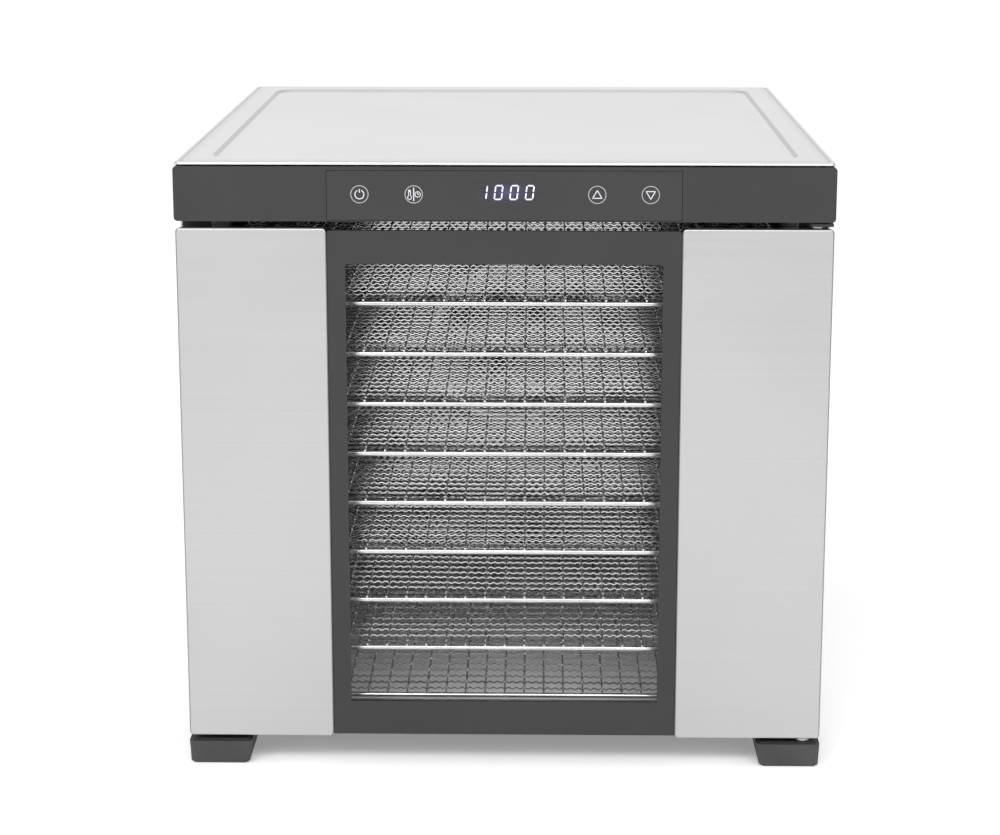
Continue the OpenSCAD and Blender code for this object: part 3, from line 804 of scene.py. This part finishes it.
def make_fan_guard():
    """Dark rings on spokes inside a bright pressed ring, in front of the fan inlet."""
    low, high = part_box("fan_guard")
    centre = (Vector(low) + Vector(high)) / 2
    outer = (high[0] - low[0]) / 2
    make_inlet_ring(centre, outer, low[1])
    inside = outer - INLET_WIDTH
    wires = Wires()
    for k in range(GUARD_RINGS):
        radius = GUARD_HUB + (inside - GUARD_HUB) * k / GUARD_RINGS
        ring = upright_circle(centre, radius, centre.y, GUARD_STEPS)
        wires.sweep(ring, GUARD_WIRE_R, GUARD_SIDES, closed=True)
    behind = Vector((centre.x, centre.y + 1.5 * GUARD_WIRE_R, centre.z))
    for k in range(GUARD_SPOKES):
        turn = 2 * math.pi * (k + 0.5) / GUARD_SPOKES
        out = Vector((math.cos(turn), 0, math.sin(turn)))
        spoke = [behind + out * reach for reach in (GUARD_HUB * 0.7, inside / 2, outer - INLET_SHEET)]
        wires.sweep(spoke, GUARD_WIRE_R, SPOKE_SIDES)
    piece = new_piece("fan_guard_rings", wires.mesh("fan_guard_rings"), "dark_steel", "cabinet")
    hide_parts("fan_guard")


# ---------- rear louvres ----------

LOUVRE_CIRCLE = 66 * MM
LOUVRE_PITCH = 10 * MM
LOUVRES_EACH_WAY = 6
LOUVRE_DEPTH = 4.2 * MM
LOUVRE_TOP = 3.4 * MM
LOUVRE_FOOT = -2.8 * MM
LOUVRE_END = 6 * MM
LOUVRE_SHEET = 0.5 * MM
LOUVRE_STEPS, LOUVRE_ROWS = 48, 8


def louvre_points(centre_x, face, slot_z, half):
    """A grid of points over one hood, from end to end and from its top to its foot."""
    points = []
    for i in range(LOUVRE_STEPS + 1):
        x = half * math.sin(math.pi * (i / LOUVRE_STEPS - 0.5))
        run = min(1, (half - abs(x)) / LOUVRE_END)
        for j in range(LOUVRE_ROWS + 1):
            fall = j / LOUVRE_ROWS
            depth = LOUVRE_DEPTH * math.sin(math.pi / 2 * run) * math.sin(math.pi / 2 * fall)
            z = slot_z + LOUVRE_TOP + (LOUVRE_FOOT - LOUVRE_TOP) * fall
            points.append((centre_x + x, face - depth, z))
    return points


def make_louvres():
    """Pressed hoods on the inner face of the rear panel, one over each slot behind the fan."""
    low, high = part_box("fan_guard")
    centre = (Vector(low) + Vector(high)) / 2
    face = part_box("rear_panel")[0][1]
    points, faces = [], []
    for number in range(-LOUVRES_EACH_WAY, LOUVRES_EACH_WAY + 1):
        offset = number * LOUVRE_PITCH
        half = math.sqrt(LOUVRE_CIRCLE ** 2 - offset ** 2) + LOUVRE_END / 2
        start = len(points)
        points += louvre_points(centre.x, face, centre.z + offset, half)
        for i in range(LOUVRE_STEPS):
            for j in range(LOUVRE_ROWS):
                a = start + i * (LOUVRE_ROWS + 1) + j
                faces.append((a, a + 1, a + LOUVRE_ROWS + 2, a + LOUVRE_ROWS + 1))
    piece = new_piece("rear_louvres", mesh_from("rear_louvres", points, faces, 50),
                      SLOT_OF["rear_panel"], "cabinet")
    thicken(piece, LOUVRE_SHEET, 0)


# ---------- symbols and digits on the touch panel ----------

INK_DEPTH = 0.06 * MM
INK_SHEET = 0.8 * INK_DEPTH
GLOW_SINK = 0.6 * INK_DEPTH
KEY_RADIUS = 5.65 * MM
RING_LINE = 0.52 * MM
THIN_LINE = 0.5 * MM
ARROW_LINE = 0.6 * MM
POWER_LINE = 0.62 * MM
DIVIDER_LINE = 0.7 * MM
OPEN_RING = (115, 425)  # degrees, with the gap at the top
KEY_X = {"power": -93.8 * MM, "mode": -58.6 * MM, "up": 60.3 * MM, "down": 94.9 * MM}
SYMBOL_Z = 394.2 * MM
DIGIT_Z = 395.6 * MM
DIGIT_X = [-13.6 * MM, -3.6 * MM, 6.5 * MM, 16.6 * MM]
DIGIT_HEIGHT = 9.0 * MM
DIGIT_WIDTH = 4.6 * MM
SEGMENT = 0.85 * MM
SEGMENT_GAP = 0.25 * MM
SLANT = 0.12
ONE, ZERO = "bc", "abcdef"
HALO_SHIFT = 1.5 * MM
HALO_HALF_WIDTH, HALO_HALF_HEIGHT = 27 * MM, 11 * MM


class Ink:
    """Flat marks on the front of the touch panel, drawn in x and z."""

    def __init__(self):
        self.points, self.faces = [], []
        self.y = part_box("touch_panel")[0][1] - INK_DEPTH

    def add(self, outline):
        """A convex outline, in counter-clockwise order as seen from the front."""
        start = len(self.points)
        self.points += [(x, self.y, z) for x, z in outline]
        self.faces.append(tuple(range(start, start + len(outline))))

    def line(self, a, b, width):
        (ax, az), (bx, bz) = a, b
        length = math.hypot(bx - ax, bz - az)
        nx, nz = (az - bz) / length * width / 2, (bx - ax) / length * width / 2
        self.add([(ax - nx, az - nz), (bx - nx, bz - nz), (bx + nx, bz + nz), (ax + nx, az + nz)])

    def arc(self, centre, radius, width, start=0, end=360, steps=48):
        inner, outer = radius - width / 2, radius + width / 2
        for k in range(steps):
            a, b = (math.radians(start + (end - start) * (k + j) / steps) for j in (0, 1))
            self.add([(centre[0] + r * math.cos(t), centre[1] + r * math.sin(t))
                      for r, t in ((inner, a), (outer, a), (outer, b), (inner, b))])

    def disc(self, centre, radius):
        self.add([(centre[0] + radius * math.cos(t), centre[1] + radius * math.sin(t)) for t in turns(24)])

    def polygon(self, corners, width):
        for a, b in zip(corners, corners[1:] + corners[:1]):
            self.line(a, b, width)
        for corner in corners:
            self.disc(corner, width / 2)

    def piece(self, name, material):
        """One mesh of all the marks, on the cabinet."""
        mesh = bpy.data.meshes.new(name)
        mesh.from_pydata(self.points, [], self.faces)
        bm = bmesh.new()
        bm.from_mesh(mesh)
        bmesh.ops.remove_doubles(bm, verts=bm.verts, dist=SAME_POINT)
        bm.to_mesh(mesh)
        bm.free()
        return new_piece(name, mesh, "touch_gloss", "cabinet", material)


def power_symbol(ink, x, z):
    """An open ring with an upright bar in its gap."""
    ring_r, ring_drop, bar_foot, bar_head = 2.9 * MM, 0.1 * MM, 1.0 * MM, 3.5 * MM
    ink.arc((x, z - ring_drop), ring_r, POWER_LINE, *OPEN_RING)
    ink.line((x, z + bar_foot), (x, z + bar_head), POWER_LINE)


def mode_symbol(ink, x, z):
    """Thermometer and clock, parted by an upright line."""
    half_divider, bulb_r, clock_r = 4.4 * MM, 1.25 * MM, 1.75 * MM
    half_stem, stem_foot, stem_head = 0.62 * MM, 1.0 * MM, 4.2 * MM
    cap_r, cap_rise = 0.85 * MM, 4.3 * MM
    long_hand, short_hand = 1.2 * MM, 1.0 * MM
    bulb_x, bulb_z, clock_x = x - 2.7 * MM, z - 2.0 * MM, x + 2.6 * MM
    ink.line((x, z - half_divider), (x, z + half_divider), DIVIDER_LINE)
    ink.arc((bulb_x, bulb_z), bulb_r, THIN_LINE, *OPEN_RING, 20)
    for stem_x in (bulb_x - half_stem, bulb_x + half_stem):
        ink.line((stem_x, bulb_z + stem_foot), (stem_x, bulb_z + stem_head), THIN_LINE)
    ink.disc((bulb_x, bulb_z + cap_rise), cap_r)
    ink.arc((clock_x, z), clock_r, THIN_LINE, steps=24)
    ink.line((clock_x, z), (clock_x, z + long_hand), THIN_LINE)
    ink.line((clock_x, z), (clock_x + short_hand, z), THIN_LINE)


def arrow_symbol(ink, x, z, way):
    """A triangle that points up or down."""
    half, base, tip = 3.0 * MM, 2.25 * MM, 2.875 * MM
    base_z, tip_z = z - way * base, z + way * tip
    ink.polygon([(x - half, base_z), (x + half, base_z), (x, tip_z)], ARROW_LINE)


def digit_segments(ink, x, z, lit):
    """The lit bars of one slanted seven-bar digit."""
    w, h, t = DIGIT_WIDTH / 2, DIGIT_HEIGHT / 2, SEGMENT
    ends = {"a": ((-w, h), (w, h)), "d": ((-w, -h), (w, -h)), "g": ((-w, 0), (w, 0)),
            "f": ((-w, 0), (-w, h)), "b": ((w, 0), (w, h)),
            "e": ((-w, -h), (-w, 0)), "c": ((w, -h), (w, 0))}
    for name in lit:
        (ax, az), (bx, bz) = ends[name]
        length = math.hypot(bx - ax, bz - az)
        ux, uz = (bx - ax) / length, (bz - az) / length
        near, far = SEGMENT_GAP, length - SEGMENT_GAP
        outline = []
        for along, across in ((near, 0), (near + t / 2, -t / 2), (far - t / 2, -t / 2),
                              (far, 0), (far - t / 2, t / 2), (near + t / 2, t / 2)):
            px = ax + ux * along - uz * across
            pz = az + uz * along + ux * across
            outline.append((x + px + SLANT * pz, z + pz))
        ink.add(outline)


def make_symbols():
    """The key symbols, the rings round them and the lit digits, each kind as one piece."""
    symbols, rings, digits = Ink(), Ink(), Ink()
    power_symbol(symbols, KEY_X["power"], SYMBOL_Z)
    mode_symbol(symbols, KEY_X["mode"], SYMBOL_Z)
    arrow_symbol(symbols, KEY_X["up"], SYMBOL_Z, 1)
    arrow_symbol(symbols, KEY_X["down"], SYMBOL_Z, -1)
    for x in KEY_X.values():
        rings.arc((x, SYMBOL_Z), KEY_RADIUS, RING_LINE)
    for x, lit in zip(DIGIT_X, (ONE, ZERO, ZERO, ZERO)):
        digit_segments(digits, x, DIGIT_Z, lit)
    key_light = glowing("key_light", 0.5, (0.5, 0.5, 0.57, 1), 0.42)
    ring_light = glowing("ring_light", 0.3, (0.3, 0.3, 0.33, 1), 0.4)
    digit_light = glowing("digit_light", (0.7, 0.7, 0.84, 1), (0.6, 0.6, 0.78, 1), 0.75)
    thicken(symbols.piece("key_symbols", key_light), INK_SHEET)
    thicken(rings.piece("key_rings", ring_light), INK_SHEET)
    thicken(digits.piece("display_digits", digit_light), INK_SHEET)


def make_display_glow():
    """A sheet just behind the digits that carries the light round them."""
    glow = Ink()
    glow.y += GLOW_SINK
    middle = (DIGIT_X[0] + DIGIT_X[-1]) / 2 + HALO_SHIFT
    left, right = middle - HALO_HALF_WIDTH, middle + HALO_HALF_WIDTH
    foot, head = DIGIT_Z - HALO_HALF_HEIGHT, DIGIT_Z + HALO_HALF_HEIGHT
    glow.add([(left, foot), (right, foot), (right, head), (left, head)])
    glow.piece("display_glow", display_halo())


# ---------- screws ----------

HEAD_PROFILE = [(1, 0), (1, 0.35), (0.93, 0.7), (0.75, 0.93), (0.45, 1)]  # shares of radius, height
HEAD_SIDES = 32
CROSS_ARM, CROSS_HALF = 0.42, 0.11  # shares of the radius
CROSS_TAPER, CROSS_FLOOR = 0.8, 0.35  # the recess's floor: its size to its lip's, its share of height
CROSS_TURN = 1.1  # radians from one screw to the next


def cross_outline(arm, half):
    """The twelve corners of a cross, going round it."""
    return [(half, half), (half, arm), (-half, arm), (-half, half), (-arm, half), (-arm, -half),
            (-half, -half), (-half, -arm), (half, -arm), (half, -half), (arm, -half), (arm, half)]


def screw_head_mesh(radius, height):
    """A pan head with a cross recess, base on the XY plane and facing +Z."""
    bm = bmesh.new()
    rings = []
    for out, up in HEAD_PROFILE:
        r, z = radius * out, height * up
        rings.append([bm.verts.new((r * math.cos(t), r * math.sin(t), z)) for t in turns(HEAD_SIDES)])
    join_rings(bm, rings)
    cross = cross_outline(radius * CROSS_ARM, radius * CROSS_HALF)
    lip = [bm.verts.new((x, y, height)) for x, y in cross]
    foot = [bm.verts.new((x * CROSS_TAPER, y * CROSS_TAPER, height * CROSS_FLOOR)) for x, y in cross]
    join_rings(bm, [foot, lip])
    bm.faces.new(foot)
    edges = []
    for ring in (rings[-1], lip):
        edges += [bm.edges.get(pair) for pair in zip(ring, ring[1:] + ring[:1])]
    bmesh.ops.triangle_fill(bm, use_beauty=True, use_dissolve=False, edges=edges)
    bmesh.ops.recalc_face_normals(bm, faces=bm.faces)
    return mesh_from_bmesh("screw_head", bm)


def island_boxes(node):
    """The (low, high) corners of each separate solid in a CAD node."""
    bm = bmesh.new()
    bm.from_mesh(NODES[node].data)
    bmesh.ops.remove_doubles(bm, verts=bm.verts, dist=SAME_POINT)
    left = set(bm.verts)
    boxes = []
    while left:
        stack, island = [left.pop()], []
        while stack:
            vert = stack.pop()
            island.append(vert.co.copy())
            for edge in vert.link_edges:
                other = edge.other_vert(vert)
                if other in left:
                    left.remove(other)
                    stack.append(other)
        boxes.append((Vector([min(p[i] for p in island) for i in range(3)]),
                      Vector([max(p[i] for p in island) for i in range(3)])))
    bm.free()
    return sorted(boxes, key=lambda box: tuple(box[0]))


def make_screws(node):
    """Pan-head screws in place of a CAD node's plain heads."""
    merged = bmesh.new()
    for number, (low, high) in enumerate(island_boxes(node)):
        size, middle = high - low, (low + high) / 2
        thin = min(range(3), key=lambda i: size[i])
        out = Vector((0, 0, 0))
        out[thin] = math.copysign(1, middle[thin])
        base = Matrix.Translation(middle - out * size[thin] / 2)
        facing = out.to_track_quat("Z", "Y").to_matrix().to_4x4()
        head = screw_head_mesh(max(size) / 2, size[thin])
        head.transform(base @ facing @ Matrix.Rotation(number * CROSS_TURN, 4, "Z"))
        merged.from_mesh(head)
        bpy.data.meshes.remove(head)
    mesh = mesh_from_bmesh(node + "_heads", merged)
    smooth(mesh, 35)
    piece = new_piece(node + "_heads", mesh, "zinc_steel", "cabinet")
    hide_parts(node)


# ---------- CAD nodes that stay ----------

EDGE_WIDTH = {  # millimetres
    "control_fascia": 0.5, "touch_panel": 0.25, "door_frame": 0.4, "door_glass": 0.3, "feet": 0.8,
    "door_seal": 0.6, "hinge_bracket_top": 0.3, "hinge_bushes": 0.3, "motor_bracket": 0.3,
    "fan_motor": 0.6, "tray_rails_left": 0.4, "tray_rails_right": 0.4, "cord_gland": 0.4,
    "rear_panel": 0.2, "left_side_panel": 0.3, "right_side_panel": 0.3, "window_seal": 0.3,
    "glass_retainer": 0.3, "door_inner_panel": 0.25, "fan_blade": 0.2, "power_board": 0.3,
}


def dress_cad_nodes():
    """Gives every CAD node its slot's material, a few their own, and rounds the edges that show."""
    for name, node in NODES.items():
        node.data.materials.clear()
        node.data.materials.append(PALETTE[SLOT_OF[name]])
    # painted shade: the front frame, the cavity ceiling and the top hinge bracket take the near-black
    # coating so the gap under the band and the top of the cavity read dark
    for name in ("front_frame", "liner_ceiling", "hinge_bracket_top"):
        NODES[name].data.materials[0] = PALETTE["dark_steel"]
    NODES["rear_baffle"].data.materials[0] = brushed_steel("baffle_steel", 0.14, "X", (0.3, 0.45))
    # painted light: the cavity floor gets a paler, non-metal steel than the liner's
    NODES["liner_floor"].data.materials[0] = floor_steel_painted_light()
    for name, width in EDGE_WIDTH.items():
        soften(name, width * MM)


make_camera()
make_world()
for light_name, setting in LIGHTS.items():
    area_light(light_name, *setting)
make_floor()
dress_cad_nodes()
make_top_cover()
make_door_plates()
make_trays()
make_fan_guard()
make_louvres()
make_symbols()
make_display_glow()
make_screws("side_screws")
make_screws("rear_screws")

bpy.context.view_layer.update()
